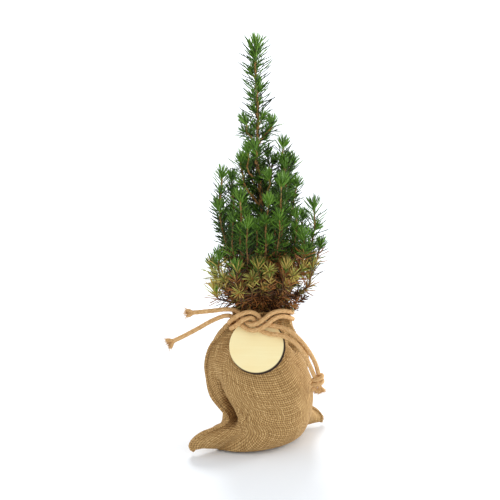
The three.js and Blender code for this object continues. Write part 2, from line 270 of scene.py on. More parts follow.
def straight_column(sides, rings):
    """A capped unit column of rings of points, which stems, cords, threads and needles are bent from.
    It gives each point's angle and share of the height, its distance from the axis, and the faces."""
    form = bmesh.new()
    bmesh.ops.create_circle(form, cap_ends=True, segments=sides, radius=1)
    rim = list(form.edges)
    for _ in range(rings):
        grown = bmesh.ops.extrude_edge_only(form, edges=rim)["geom"]
        rim = [part for part in grown if isinstance(part, bmesh.types.BMEdge) and part.is_boundary]
        bmesh.ops.translate(form, verts=new_points(grown), vec=(0, 0, 1))
    bmesh.ops.holes_fill(form, edges=rim, sides=sides)
    bmesh.ops.recalc_face_normals(form, faces=form.faces)
    place = np.array([v.co for v in form.verts])
    faces = [[v.index for v in face.verts] for face in form.faces]
    form.free()
    return np.arctan2(place[:, 1], place[:, 0]), np.rint(place[:, 2]).astype(int), faces


def bent_column(route, sides, radius):
    """The column laid along a route, radius(along, angle) thick: its points, its faces and the same
    points as they would lie on the straightened piece, for patterns that follow it."""
    angle, ring, faces = straight_column(sides, len(route) - 1)
    heading = unit_rows(np.gradient(route, axis=0))
    across = np.zeros_like(route)
    last = np.cross(heading[0], (0.3, 0.2, 0.9))
    for i, direction in enumerate(heading):
        last = last - direction * np.dot(last, direction)
        last /= np.linalg.norm(last)
        across[i] = last
    beside = np.cross(heading, across)
    along = distances_along(route)[ring]
    thick = radius(along, angle)
    out = np.cos(angle)[:, None] * across[ring] + np.sin(angle)[:, None] * beside[ring]
    points = route[ring] + out * thick[:, None]
    return points, faces, np.column_stack([thick * np.cos(angle), thick * np.sin(angle), along])


def shade_smooth(mesh):
    mesh.polygons.foreach_set("use_smooth", [True] * len(mesh.polygons))


def joined_piece(name, parts):
    """One object of many bent columns, which keeps the straightened places as an attribute."""
    points, part_faces, straight = zip(*parts)
    starts = np.cumsum([0, *map(len, points)]).tolist()
    faces = [[index + start for index in face] for start, part in zip(starts, part_faces) for face in part]
    mesh = bpy.data.meshes.new(name)
    mesh.from_pydata(np.vstack(points).tolist(), [], faces)
    kept = mesh.attributes.new("straight", "FLOAT_VECTOR", "POINT")
    kept.data.foreach_set("vector", np.vstack(straight).astype(np.float32).ravel())
    shade_smooth(mesh)
    return put_in_scene(name, mesh)


def fit_out(piece, finish, slot, *stands_for):
    """Gives a piece its finish and its body, and hides the nodes that it stands for. Its slot is not used."""
    piece.data.materials.append(finish.material)
    if stands_for:
        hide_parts(*stands_for)
    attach(piece, "root")


def plied(radius):
    """The section of twisted cord: round, with a groove between plies that winds along it."""
    def reach(along, angle):
        turn = PLIES * (angle - 2 * math.pi * along / CORD_TWIST) / 2
        return radius * (1 - PLY_GROOVE + PLY_GROOVE * np.abs(np.cos(turn)) ** 0.6)
    return reach


def cut_open(section, total):
    """The section of a cord that thins away inside its own loose fibres, just before its cut end."""
    def reach(along, angle):
        return section(along, angle) * (1 - 0.8 * np.clip((along - total) / OPENED_END + 1, 0, 1))
    return reach


cord_finish = Finish("jute_cord", roughness=0.92)
laid = cord_finish.attribute("straight")
fibre = cord_finish.noise(laid, (3200, 3200, 420), detail=4)
cord_finish.colour(cord_finish.blend(
    cord_finish.noise(laid, (200, 200, 130), detail=2),
    cord_finish.shades(fibre, (0.3, 150, 108, 62), (0.5, 204, 160, 106), (0.72, 236, 198, 146)),
    cord_finish.shades(fibre, (0.3, 170, 124, 74), (0.5, 214, 172, 118), (0.72, 244, 210, 160))))
cord_finish.relief(fibre, 0.0003, 0.7)

strands = {}
routes = {}
for name, points in STRANDS.items():
    route = smooth_route(np.array(points) * MM, CORD_STEP)
    section = plied(CORD_DIAMETER / 2 * ROUND_THE_PLIES)
    if "_right_" in name:
        section = cut_open(section, route_length(route))
    strands[name] = joined_piece(name.replace("drawstring", "cord"), [bent_column(route, 24, section)])
    routes[name] = route
    fit_out(strands[name], cord_finish, "cord", name)

# ---------- frayed ends and end knot ----------
# Past each cut end the three plies open out and break up into loose fibres. On the right, both
# strands go through one overhand knot, pulled tight, with short brushes of fibre below it.

THREADS = 70
THREAD_RADIUS = 0.00019
PLY_RADIUS = 0.00118
CUT_ENDS = (
    # the strand, how far its fibres reach and how wide they spread
    ("drawstring_right_upper", 0.0074, 0.0034), ("drawstring_right_lower", 0.0070, 0.0054),
)
KNOT_BELOW_TOP = 0.0040
KNOT_CORD_RADIUS = 0.0019
KNOT_TURNS = (
    # each turn's radius and height, the degrees that it leans and the way it leans, its thickness
    (0.0042, 0.0021, -27, 84, 0.0020), (0.0043, -0.0020, -22, 98, 0.0020), (0.0030, 0.0004, 52, 80, 0.0019),
)
# The two tails below the knot, each one's place across it and its drop, and how they fray.
KNOT_TAILS = ((-0.0018, 0.0044), (0.0016, 0.0050))
TAIL_FRAY = (0.0050, 0.0034)


def fray(start, heading, length, spread, rng):
    """The plies and the loose threads of a cut end, fanned out round its heading."""
    heading = Vector(heading).normalized()
    aside = heading.orthogonal().normalized()
    parts = []
    for i in range(PLIES + THREADS):
        is_ply = i < PLIES
        turn = Matrix.Rotation(2 * math.pi * (i / PLIES if is_ply else rng.random()), 3, heading)
        out = turn @ aside
        begin = start + out * (0.0007 if is_ply else 0.0015 * rng.random())
        far = length * (0.8 if is_ply else rng.uniform(0.7, 1.3))
        open_by = spread * (0.72 if is_ply else rng.uniform(0.1, 1.25))
        curl = rng.uniform(-0.4, 0.4) if is_ply else rng.uniform(-0.9, 0.9)
        bend = heading.cross(out) * curl
        line = smooth_route([
            begin - heading * 0.0015,
            begin + heading * far * 0.3 + out * open_by * 0.25,
            begin + heading * far * 0.65 + out * open_by * 0.7 + bend * open_by * 0.5,
            begin + heading * far * 0.85 + out * open_by * 1.1 + bend * open_by,
        ], far / (9 if is_ply else 6))
        total = route_length(line)
        size = PLY_RADIUS if is_ply else THREAD_RADIUS
        swell = 0.75 if is_ply else 0.0
        parts.append(bent_column(line, 8 if is_ply else 4, lambda along, angle: (
            size * (1 + swell * np.sin(2.4 * along / total) ** 2 - 0.6 * (along / total) ** 6))))
    return parts


rng = random.Random(5)
far_pieces = {}
for name, length, spread in CUT_ENDS:
    route = routes[name]
    cut = len(route) - 1 - round(OPENED_END / CORD_STEP)
    fibres = fray(Vector(route[cut]), route[cut] - route[cut - 3], length, spread, rng)
    far_pieces[name] = joined_piece(name.replace("drawstring", "frayed_end"), fibres)
    fit_out(far_pieces[name], cord_finish, "cord")

knot_low, knot_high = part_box("drawstring_knot")
knot_middle = (knot_low + knot_high) / 2
knot_middle.z = knot_high.z - KNOT_BELOW_TOP


def level_way(turn):
    """The level direction at a turn about the vertical, from +X."""
    return Vector((math.cos(turn), math.sin(turn), 0))


def knot_turn(radius, height, lean, around, thick):
    """One tight turn of the doubled cord, leaning round the knot."""
    tilt = Matrix.Rotation(math.radians(lean), 3, level_way(math.radians(around)))
    route = []
    for i in range(33):
        angle = 2 * math.pi * i / 30
        point = Vector((
            radius * math.cos(angle), 0.85 * radius * math.sin(angle), 0.0004 * math.sin(2 * angle)))
        route.append(knot_middle + Vector((0, 0, height)) + tilt @ point)
    return bent_column(np.array(route), 16, plied(thick))


knot_parts = [knot_turn(*row) for row in KNOT_TURNS]
for name in ("drawstring_left_upper", "drawstring_left_lower"):
    end = Vector(routes[name][-1])
    entry = smooth_route([end, end.lerp(knot_middle, 0.35), end.lerp(knot_middle, 0.85)], CORD_STEP)
    knot_parts.append(bent_column(entry, 24, plied(CORD_DIAMETER / 2 * 0.99)))
for aside, drop in KNOT_TAILS:
    below = smooth_route([
        knot_middle + Vector((aside * 0.4, -0.0006, 0.001)),
        knot_middle + Vector((aside, -0.001, -drop)),
        knot_middle + Vector((aside * 1.3, -0.0012, -drop - 0.0018))], CORD_STEP)
    knot_parts.append(bent_column(below, 16, plied(KNOT_CORD_RADIUS)))
    knot_parts.extend(fray(Vector(below[-1]), below[-1] - below[-3], *TAIL_FRAY, rng))
end_knot = joined_piece("cord_end_knot", knot_parts)
fit_out(end_knot, cord_finish, "cord", "drawstring_knot")

# ---------- root ball ----------
# Dark moist potting soil held by fine roots, packed into the bag up to where its mouth narrows.
# Only its crumbly top can be seen, from above, round the foot of the trunk.

SOIL_INSET = 0.009
SOIL_CRUMBS = 0.0012
SEAM_LINE_ANGLE = math.radians(35)
BAG_WIDTHS = (
    # the bag's height, middle in X, half width in X and half depth in Y, all in mm
    (0, 1, 43, 42), (14, 1.5, 44, 43.5), (38, 1.8, 46, 44), (56, -1, 47.4, 44.5), (74, -5, 44.6, 41.5),
    (90, -6, 38.8, 34), (104, -3.6, 33, 25), (116, 1.2, 25, 17.5), (124, 1.7, 26, 18),
)
# Where it stands, the bag is longer along the bottom seam than across it: middle and half sizes, mm.
BAG_STANDS_ON = (-4, -4, 44, 25)
BAG_ROUNDED = 0.030
# The bag is about this far across from its middle, in mm, where its hollows are.
BAG_REACH = 43
BAG_HOLLOWS = (
    # degrees round the bag, height, depth and spread, in mm; a depth below zero is a ridge.
    # The fold beside the left seam, from its top down, and the hollow behind it:
    (209, 70, 4, 5.8), (212, 62, 7.4, 5.2), (216.5, 54, 10.4, 4.9), (221.5, 46, 13, 4.6),
    (227, 38.5, 15.5, 4.4), (230.5, 31, 15, 4.3), (229.5, 24.5, 9, 4.6), (188, 33, 15, 15),
    (203, 25, 8, 10), (165, 21, 4, 8), (168, 13, 2, 5),
    # The folds under the left shoulder, then under the right one:
    (232, 106, 3.4, 6), (226, 98, 5, 6), (219.5, 91, 6.4, 4.6), (212, 86, 3, 4.4), (212, 78, -1.6, 5),
    (331, 98, 4.4, 3.6), (339.5, 92, 8.4, 3.6), (345.5, 88, 11.5, 3.8), (353, 84.5, 5, 3.8),
    (335, 83, 3, 4.6), (297, 97, 2.4, 4), (304, 88, 2, 5),
)


def read_at(where, along, table):
    """A table's columns, each read at a place between the places along it."""
    return np.column_stack([np.interp(where, along, column) for column in table.T])


def bag_section(turn, height):
    """The bag's outer wall at a turn and a height: round, and drawn out along its bottom seam."""
    table = np.array(BAG_WIDTHS, float) * MM
    middle, wide, deep = read_at(height, table[:, 0], table[:, 1:])[0]
    full = Vector((middle + wide * math.cos(turn), deep * math.sin(turn), height))
    if height >= BAG_ROUNDED:
        return full
    across, aside, long, short = [size * MM for size in BAG_STANDS_ON]
    way = turn - SEAM_LINE_ANGLE
    stands = Vector((across, aside, height)) + Matrix.Rotation(SEAM_LINE_ANGLE, 3, "Z") @ Vector((
        long * math.cos(way), short * math.sin(way), 0))
    return stands.lerp(full, math.sqrt(1 - (1 - max(0.0, height) / BAG_ROUNDED) ** 2))


def bag_axis(height):
    return (bag_section(0, height) + bag_section(math.pi, height)) / 2


def pushed_in(place, turn, depth):
    """A place on the bag's wall, moved towards its middle."""
    return place - level_way(turn) * depth


def hollow(turn, height, widest=math.inf):
    """How deep the folds of the bag go at a turn and a height; widest leaves out the broad ones."""
    deep = 0.0
    for at_turn, at_height, depth, spread in BAG_HOLLOWS:
        if spread <= widest:
            away = math.remainder(turn - math.radians(at_turn), 2 * math.pi) * BAG_REACH
            apart = (away ** 2 + (height / MM - at_height) ** 2) / spread ** 2
            deep += depth * MM * math.exp(-apart)
    return deep


ball_low, ball_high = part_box("root_ball")
soil_form = bmesh.new()
bmesh.ops.create_icosphere(soil_form, subdivisions=6, radius=1)
ball_middle = (ball_low + ball_high) / 2
for point in soil_form.verts:
    height = ball_middle.z + point.co.z * (ball_high.z - ball_low.z) / 2 + 0.003
    boxed = min(1.0, point.co.xy.length ** 0.45)
    turn = math.atan2(point.co.y, point.co.x)
    wall = pushed_in(bag_section(turn, height), turn, SOIL_INSET + 0.6 * hollow(turn, height))
    crumbs = SOIL_CRUMBS * math.sin(61 * point.co.x) * math.sin(53 * point.co.y) * max(0.0, point.co.z)
    point.co = bag_axis(height).lerp(wall, boxed)
    point.co.z = min(height, ball_high.z - 0.001) + crumbs
soil = shaped("soil_ball", soil_form)
shade_smooth(soil.data)
soil_finish = Finish("potting_soil", roughness=1.0)
crumble = soil_finish.noise(soil_finish.node("ShaderNodeTexCoord").outputs["Object"], detail=6, scale=420)
soil_finish.colour(soil_finish.shades(crumble, (0.35, 28, 18, 12), (0.55, 58, 41, 29), (0.75, 112, 84, 58)))
soil_finish.relief(crumble, 0.0012)
fit_out(soil, soil_finish, "soil", "root_ball")

# ---------- jute bag ----------
# Two panels of jute hessian sewn together along both sides and the bottom, stuffed with the round
# root ball. The bottom corners stay empty and stick out as ears; the seams climb from them in a bend.

CUT_WIDTH, CUT_HEIGHT = 0.146, 0.171
HALF_CUT = CUT_WIDTH / 2
BAG_CELL = 0.0027
BAG_FOOT = 0.036
BAG_FLOOR = 0.0012
BAG_TOP = 0.124
BACK_HEM_DROP = 0.004
NECK_PLEATS = 15
PLEAT_DEPTH = 0.0013
NECK_GATHERS = (0.086, 0.114)
WALL_INSET = 0.0012
EAR_STARTS = 0.045
EAR_PUFF = 0.0036
EAR_ENDS = (0.026, 0.044)
# Painted shade in the narrow folds of the bag: hollows no wider than this darken the cloth, from none at the
# first depth to full at the second.
CREASE_SHADE_SPREAD = 5.9
CREASE_SHADE_DEPTHS = (0.004, 0.013)
# Each seam from its ear's tip to the hem: degrees round the bag, mm from its axis, mm up.
LEFT_SEAM = (
    (210, 70, 3.2), (210.6, 72.8, 8.2), (211.8, 70.6, 14.2), (214, 61, 20), (217, 51, 22.8),
    (221.5, 43.5, 26), (224.5, 41, 31), (221, 42, 36), (213, 44.5, 42), (204, 47, 48), (199, 48, 53),
    (193, 48.5, 62), (189, 49, 74), (191, 45, 91), (199, 34.5, 106), (206, 26.5, 117), (206, 27, 124),
)
RIGHT_SEAM = (
    (31, 65, 2), (31.5, 65, 6.5), (32.5, 60, 13), (34, 52, 18.5), (36, 45.5, 24), (38, 43, 33),
    (33, 43.5, 45), (26, 43.5, 58), (17, 41, 73), (-2, 34, 90), (-14, 28, 105), (-22, 25, 117),
    (-22, 26, 124),
)
SETTLING_FRAMES = 12
SETTLES_AT_MOST = 0.0016
SETTLING_CLOTH = {
    "quality": 6, "mass": 0.1, "tension_stiffness": 60, "compression_stiffness": 60,
    "shear_stiffness": 20, "bending_stiffness": 4.0, "tension_damping": 10, "compression_damping": 10,
    "shear_damping": 10, "bending_damping": 1, "air_damping": 3, "use_pressure": True,
    "uniform_pressure_force": 1.5, "vertex_group_mass": "pinned",
}


def seam_points(rows):
    """A seam as points spaced evenly along it."""
    turns, reaches, heights = np.array(rows, float).T
    turns = np.radians(turns)
    bends = np.column_stack([reaches * np.cos(turns), reaches * np.sin(turns), heights]) * MM
    return smooth_route(bends, 0.002)


def at_share(route, share):
    """The point at a share of the way along a route."""
    along = distances_along(route)
    return Vector(read_at(share * along[-1], along, route)[0])


def eased(low, high, value):
    share = min(1.0, max(0.0, (value - low) / (high - low)))
    return share * share * (3 - 2 * share)


seams = {-1: seam_points(LEFT_SEAM), 1: seam_points(RIGHT_SEAM)}
seam_along = level_way(SEAM_LINE_ANGLE)
seam_across = Vector((seam_along.y, -seam_along.x, 0))
climb_heights = np.linspace(0, BAG_TOP, 80)
climb_profile = np.array([(bag_section(math.radians(300), h).length, h) for h in climb_heights])
climb_lengths = distances_along(climb_profile)


def seam_turn(hand, height):
    """Where round the bag a seam passes a height, as an angle from +X; the left one counts to 270."""
    above = seams[hand][len(seams[hand]) // 3:]
    x, y = read_at(height, above[:, 2], above[:, :2])[0]
    turn = math.atan2(y, x)
    return turn % (2 * math.pi) if hand < 0 else turn


LEVEL = 0.002
panel_turns = {}


def turns_at_level(face, level):
    """At a whole level, the turns from seam to seam with the length of cloth used up to each."""
    if (face, level) not in panel_turns:
        height = level * LEVEL
        left, right = seam_turn(-1, height), seam_turn(1, height)
        turns = np.linspace(left, right + (2 * math.pi if face > 0 else 0), 73)
        walls = np.array([pushed_in(bag_section(turn, height), turn, hollow(turn, height)) for turn in turns])
        used = distances_along(walls)
        panel_turns[face, level] = used / used[-1], turns
    return panel_turns[face, level]


def panel_turn(face, share, height):
    """The turn at which a share of the panel's width lies at a height, with the cloth evenly spread."""
    level = int(height / LEVEL)
    below, above = [float(np.interp(share, *turns_at_level(face, k))) for k in (level, level + 1)]
    return below + (above - below) * (height / LEVEL - level)


def stuffed_place(face, across, up):
    """Where a point of the flat cut lies round the stuffing. face is 1 on the front panel."""
    under = math.sqrt(max(0.0, BAG_FOOT ** 2 - abs(across) ** 2))
    if up < under:
        flat = seam_along * across + seam_across * face * up
        turn = math.atan2(flat.y, flat.x)
        place = bag_axis(0).lerp(bag_section(turn, 0), flat.length / BAG_FOOT)
        place.z = BAG_FLOOR
        return place
    climbed = (up - under) / (CUT_HEIGHT - under)
    height = float(np.interp(climbed * climb_lengths[-1], climb_lengths, climb_heights))
    floor_way = seam_along * across + seam_across * face * under
    low_turn = math.atan2(floor_way.y, floor_way.x)
    share = 0.5 + across / HALF_CUT / 2
    high_turn = panel_turn(face, share, height)
    low_turn += 2 * math.pi * round((high_turn - low_turn) / (2 * math.pi))
    turn = low_turn + (high_turn - low_turn) * eased(-0.01, 0.05, up - under)
    gathered = eased(*NECK_GATHERS, height)
    pleat = PLEAT_DEPTH * gathered * math.sin(math.pi * NECK_PLEATS * share + face) - WALL_INSET
    place = pushed_in(bag_section(turn, height), turn, hollow(turn, height) - pleat)
    drop = BACK_HEM_DROP * eased(0.1, BAG_TOP, height) * eased(-0.2, 0.6, math.sin(turn))
    place.z = max(BAG_FLOOR, height - drop)
    return place


def start_place(face, across, up):
    """The bag's shape before the cloth settles: round the stuffing, drawn out to the ears."""
    hand = -1 if across < 0 else 1
    reach = abs(across)
    at_seam = at_share(seams[hand], up / CUT_HEIGHT)
    body = stuffed_place(face, across, up)
    if reach <= EAR_STARTS:
        return body
    share = (reach - EAR_STARTS) / (HALF_CUT - EAR_STARTS)
    ruled = stuffed_place(face, hand * EAR_STARTS, up).lerp(at_seam, share)
    fade = math.sin(math.pi * min(1.0, up / 0.04))
    ruled += seam_across * face * EAR_PUFF * math.sin(math.pi * share ** 0.8) * fade
    drawn = at_seam - stuffed_place(face, hand * HALF_CUT, up)
    return (body + drawn * share ** 3).lerp(ruled, 1 - eased(*EAR_ENDS, up))


def welded(form, points):
    bmesh.ops.remove_doubles(form, verts=points, dist=1e-6)


bag_form = bmesh.new()
panel = bag_form.verts.layers.float.new("panel")
crease_shade = bag_form.verts.layers.float.new("crease_shade")
cloth_uv = bag_form.loops.layers.uv.new("UVMap")
for face in (1, -1):
    made = bmesh.ops.create_grid(
        bag_form, x_segments=round(CUT_WIDTH / BAG_CELL), y_segments=round(CUT_HEIGHT / BAG_CELL), size=0.5)
    for point in made["verts"]:
        point[panel] = face
        point.co = Vector((point.co.x * CUT_WIDTH, 0, (point.co.y + 0.5) * CUT_HEIGHT))
    if face < 0:
        bmesh.ops.reverse_faces(bag_form, faces=[f for f in bag_form.faces if f.verts[0][panel] < 0])
for cell in bag_form.faces:
    for corner in cell.loops:
        side, place = corner.vert[panel], corner.vert.co
        corner[cloth_uv].uv = (place.x * side + (0 if side > 0 else 2 * CUT_WIDTH), place.z)


def on_seam(point):
    return abs(point.co.x) > HALF_CUT - 1e-6


welded(bag_form, [v for v in bag_form.verts if on_seam(v) or v.co.z < 1e-6])
pinned = []
for point in bag_form.verts:
    pinned.append(1.0 if on_seam(point) else eased(0.12, 0.16, point.co.z))
    point.co = start_place(point[panel], point.co.x, point.co.z)
    # How much painted shade each point takes from the narrow folds round it.
    turn = math.atan2(point.co.y, point.co.x + 0.002)
    point[crease_shade] = eased(*CREASE_SHADE_DEPTHS, hollow(turn, point.co.z, CREASE_SHADE_SPREAD))
bag = shaped("jute_bag", bag_form)


def solid_stop(source, grown):
    """A copy of a closed mesh, grown a little, that the cloth can't pass."""
    form = bmesh.new()
    form.from_mesh(source)
    welded(form, form.verts)
    bmesh.ops.recalc_face_normals(form, faces=form.faces)
    form.normal_update()
    for point in form.verts:
        point.co += point.normal * grown
    return shaped("stop", form)


def settle_cloth(cloth, pins, stops):
    """Lets the sewn cloth settle round its stuffing, and keeps every point near where it started."""
    group = cloth.vertex_groups.new(name="pinned")
    for index, weight in enumerate(pins):
        if weight > 0:
            group.add([index], weight, "REPLACE")
    for stop in stops:
        stop.modifiers.new("Collision", "COLLISION")
        stop.collision.thickness_outer = 0.0006
        stop.collision.cloth_friction = 14
    settling = cloth.modifiers.new("Cloth", "CLOTH")
    for key, value in SETTLING_CLOTH.items():
        setattr(settling.settings, key, value)
    settling.settings.effector_weights.gravity = 0.4
    settling.collision_settings.distance_min = 0.0006
    settling.collision_settings.collision_quality = 3
    settling.point_cache.frame_start = 1
    settling.point_cache.frame_end = SETTLING_FRAMES
    for step in range(1, SETTLING_FRAMES + 1):
        scene.frame_set(step)
    settled = bpy.data.meshes.new_from_object(cloth.evaluated_get(bpy.context.evaluated_depsgraph_get()))
    before = np.array([v.co for v in cloth.data.vertices])
    move = np.array([v.co for v in settled.vertices]) - before
    far = np.linalg.norm(move, axis=1)
    move *= (np.minimum(far, SETTLES_AT_MOST) / np.maximum(far, 1e-9))[:, None]
    settled.vertices.foreach_set("co", (before + move).ravel())
    name = cloth.name
    for used in (cloth, *stops):
        bpy.data.objects.remove(used)
    scene.frame_set(1)
    return put_in_scene(name, settled)


floor_stop_form = bmesh.new()
bmesh.ops.create_grid(floor_stop_form, x_segments=4, y_segments=4, size=0.2)
bag = settle_cloth(bag, pinned, [
    solid_stop(soil.data, 0.004), solid_stop(nodes["wooden_tag"].data, 0.0004),
    shaped("stop_floor", floor_stop_form)])

shade_smooth(bag.data)
finer = bag.modifiers.new("Fine", "SUBSURF")
finer.levels = finer.render_levels = 1
wall = bag.modifiers.new("Wall", "SOLIDIFY")
wall.thickness = 0.001
wall.offset = -1

WEAVE_PITCH = 0.0020
# The cloth is multiplied by this brown at the bottom of the narrow folds, as painted shade.
CREASE_SHADE_COLOUR = (0.5, 0.4, 0.29, 1)
hessian_finish = Finish("hessian", roughness=0.95)
cloth_place = hessian_finish.node("ShaderNodeUVMap", uv_map="UVMap").outputs["UV"]
yarns = hessian_finish.stretched(cloth_place, (1 / WEAVE_PITCH,) * 3)
yarn_place = hessian_finish.node("ShaderNodeSeparateXYZ", {"Vector": yarns}).outputs
over = hessian_finish.node("ShaderNodeTexChecker", {
    "Vector": yarns, "Scale": 1, "Color1": WHITE, "Color2": (0, 0, 0, 1)}).outputs["Fac"]


def yarn_round(place):
    """The rounded section of one yarn across the weave."""
    share = hessian_finish.sums("FRACT", place, 0)
    return hessian_finish.sums("SINE", hessian_finish.sums("MULTIPLY", share, math.pi), 0)


warp_round, weft_round = yarn_round(yarn_place["X"]), yarn_round(yarn_place["Y"])
crossing = hessian_finish.blend(over, weft_round, warp_round)
gaps = hessian_finish.sums("MULTIPLY", hessian_finish.sums("ADD", warp_round, weft_round), 0.38)
weave = hessian_finish.sums("ADD", gaps, hessian_finish.sums("MULTIPLY", crossing, 0.24))
slub_warp = hessian_finish.noise(yarns, (1.1, 0.09, 1), detail=2)
slub_weft = hessian_finish.noise(yarns, (0.09, 1.1, 1), detail=2)
slub = hessian_finish.blend(over, slub_weft, slub_warp)
# Partly painted light: the weave's shades brighten each yarn along its crown as a painted highlight and
# darken its edges and the gaps between yarns as painted shade; the darkest gaps also stand for the soil seen
# through the cloth.
woven = hessian_finish.blend(
    0.8,
    hessian_finish.shades(slub, (0.34, 162, 131, 90), (0.5, 188, 157, 112), (0.66, 214, 186, 140)),
    hessian_finish.shades(weave, (0.26, 48, 24, 6), (0.5, 202, 172, 128), (0.78, 255, 247, 222)),
    way="MULTIPLY")
# Painted shade: the cloth turns darker and browner down in the narrow folds, where shade falls.
painted_crease_shade = hessian_finish.attribute("crease_shade", "Fac")
hessian_finish.colour(hessian_finish.blend(painted_crease_shade, woven, CREASE_SHADE_COLOUR, way="MULTIPLY"))
hessian_finish.relief(weave, 0.0003, 0.35)
fit_out(bag, hessian_finish, "jute", "bag")

# ---------- seams and hem ----------
# Both side seams stand out as a flat double strip with a row of stitches inside its edge. The
# mouth is turned over into a tunnel for the cord, with a rolled rim and a stitched line below it.

SEAM_REACH, SEAM_THICK = 0.0016, 0.0009
HEM_REACH, HEM_THICK = 0.0011, 0.0012
INSIDE_SEAM = 0.009
STITCH_PITCH = 0.003
STITCH_LENGTH = 0.0023
THREAD = 0.00032
STRAY_THREAD = 0.00016
TUNNEL = 0.013
MOUTH_MIDDLE = (0.0017, 0, BAG_TOP)
STRAY_THREADS = ((0.005, 0.3), (0.0038, -0.5), (0.003, 1.2))


def cloth_strip(name, centres, outs, reach, thick):
    """A flat rounded strip of cloth along the centres, which stands out along the outs."""
    angle, ring, faces = straight_column(10, len(centres) - 1)
    headings = unit_rows(np.gradient(centres, axis=0))
    outs = unit_rows(outs - headings * (outs * headings).sum(axis=1)[:, None])
    sides = np.cross(headings, outs)
    points = (centres[ring] + outs[ring] * (reach * np.cos(angle))[:, None]
              + sides[ring] * (thick * np.sin(angle))[:, None])
    mesh = bpy.data.meshes.new(name)
    mesh.from_pydata(points.tolist(), [], faces)
    cloth = np.column_stack([reach * np.cos(angle) + 0.3, distances_along(centres)[ring]])
    corners = np.array([corner.vertex_index for corner in mesh.loops])
    mesh.uv_layers.new(name="UVMap").data.foreach_set("uv", cloth[corners].ravel())
    shade_smooth(mesh)
    fit_out(put_in_scene(name, mesh), hessian_finish, "jute")
    return outs, sides


def even(radius):
    """The section of a plain round thread."""
    return lambda along, angle: radius + 0 * along


def stitches(line, out):
    """Short raised threads along a line, one after the other, lifted by out."""
    along = distances_along(line)
    lift = THREAD * (0.3 + 1.2 * np.sin(np.linspace(0, math.pi, 5)))
    made = []
    for start in np.arange(0.002, along[-1] - STITCH_LENGTH, STITCH_PITCH):
        shares = start + STITCH_LENGTH * np.linspace(0, 1, 5)
        raised = read_at(shares, along, line) + read_at(shares, along, out) * lift[:, None]
        made.append(bent_column(raised, 5, even(THREAD)))
    return made


stitch_parts = []
for hand, name in ((-1, "bag_seam_left"), (1, "bag_seam_right")):
    shares = np.linspace(0, 1, 130)
    seam_line = np.array([at_share(seams[hand], share) for share in shares])
    across = hand * (HALF_CUT - INSIDE_SEAM)
    inner = np.array([(start_place(1, across, share * CUT_HEIGHT)
                       + start_place(-1, across, share * CUT_HEIGHT)) / 2 for share in shares])
    outs = unit_rows(seam_line - inner)
    stands_out = np.interp(shares, (0, 0.03, 0.14), (-1.1, -0.6, 0.66))[:, None]
    centres = seam_line + outs * SEAM_REACH * stands_out
    outs, sides = cloth_strip(name, centres, outs, SEAM_REACH, SEAM_THICK)
    for face in (1, -1):
        stitch_line = seam_line + outs * 0.0006 + sides * face * SEAM_THICK * 0.8
        stitch_parts.extend(stitches(stitch_line, sides * face))


def round_the_mouth(up):
    """Points all round the bag at a height up its cut, from the left seam along the front."""
    ring = [start_place(face, face * share * CUT_WIDTH / 2, up)
            for face in (1, -1) for share in np.linspace(-1, 1, 90)[:-1]]
    return np.array(ring + ring[:1])


mouth = round_the_mouth(CUT_HEIGHT)
around = mouth - MOUTH_MIDDLE
around[:, 2] = 0
around = unit_rows(around)
cloth_strip("bag_hem_roll", mouth - (0, 0, 0.0004), around, HEM_REACH, HEM_THICK)
stitch_parts.extend(stitches(round_the_mouth(CUT_HEIGHT - TUNNEL) + around * 0.0002, around))
stray_foot = at_share(seams[-1], 0.2)
for i, (length, lean) in enumerate(STRAY_THREADS):
    way = Vector((-0.3 * lean - 0.2, -0.5, 0.8 + 0.1 * i)).normalized()
    tip = stray_foot + (way + Vector((-0.4, -0.1, -0.5))) * length
    stray = smooth_route([stray_foot, stray_foot + way * length * 0.5, tip], 0.0006)
    stitch_parts.append(bent_column(stray, 5, even(STRAY_THREAD)))
bag_stitches = joined_piece("bag_stitches", stitch_parts)
thread_finish = Finish("sewing_thread", roughness=0.8)
spun = thread_finish.noise(thread_finish.attribute("straight"), (2600, 2600, 900))
thread_finish.colour(thread_finish.shades(spun, (0.3, 176, 136, 84), (0.7, 232, 198, 146)))
fit_out(bag_stitches, thread_finish, "jute")

# ---------- wooden tag ----------
# A blank disc cut from pale plywood. The cutter's heat has browned the edge, and the brown band is
# painted wider on the lower right as shade, where the edge and its shadow show. It lies tilted back
# against the bag, with its cord hole at the top, under the crossed strands.

TAG_RADIUS = 0.024
TAG_THICK = 0.003
TAG_LEAN = math.radians(28)
TAG_HOLE_RADIUS = 0.002
TAG_HOLE_INSET = 0.005
# The brown of the burnt edge, also used for the painted shade on its lower right.
BURNT_RIM_AND_SHADE = (46, 30, 18)
tag_low, tag_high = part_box("wooden_tag")
tag_form = bmesh.new()
bmesh.ops.create_circle(tag_form, segments=96, radius=TAG_RADIUS)
bmesh.ops.create_circle(
    tag_form, segments=24, radius=TAG_HOLE_RADIUS,
    matrix=Matrix.Translation((0, TAG_RADIUS - TAG_HOLE_INSET, 0)))
bmesh.ops.triangle_fill(tag_form, edges=list(tag_form.edges), use_beauty=True)
bmesh.ops.translate(tag_form, verts=tag_form.verts, vec=(0, 0, -TAG_THICK / 2))
raised = bmesh.ops.extrude_face_region(tag_form, geom=list(tag_form.faces))["geom"]
bmesh.ops.translate(tag_form, verts=new_points(raised), vec=(0, 0, TAG_THICK))
bmesh.ops.recalc_face_normals(tag_form, faces=tag_form.faces)
sharp = [e for e in tag_form.edges if len(e.link_faces) == 2 and e.calc_face_angle() > math.radians(60)]
bmesh.ops.bevel(tag_form, geom=sharp, offset=0.00025, segments=2, profile=0.5, affect="EDGES", material=-1)
tag_uv = tag_form.loops.layers.uv.new("UVMap")
for side in tag_form.faces:
    for corner in side.loops:
        corner[tag_uv].uv = corner.vert.co.xy
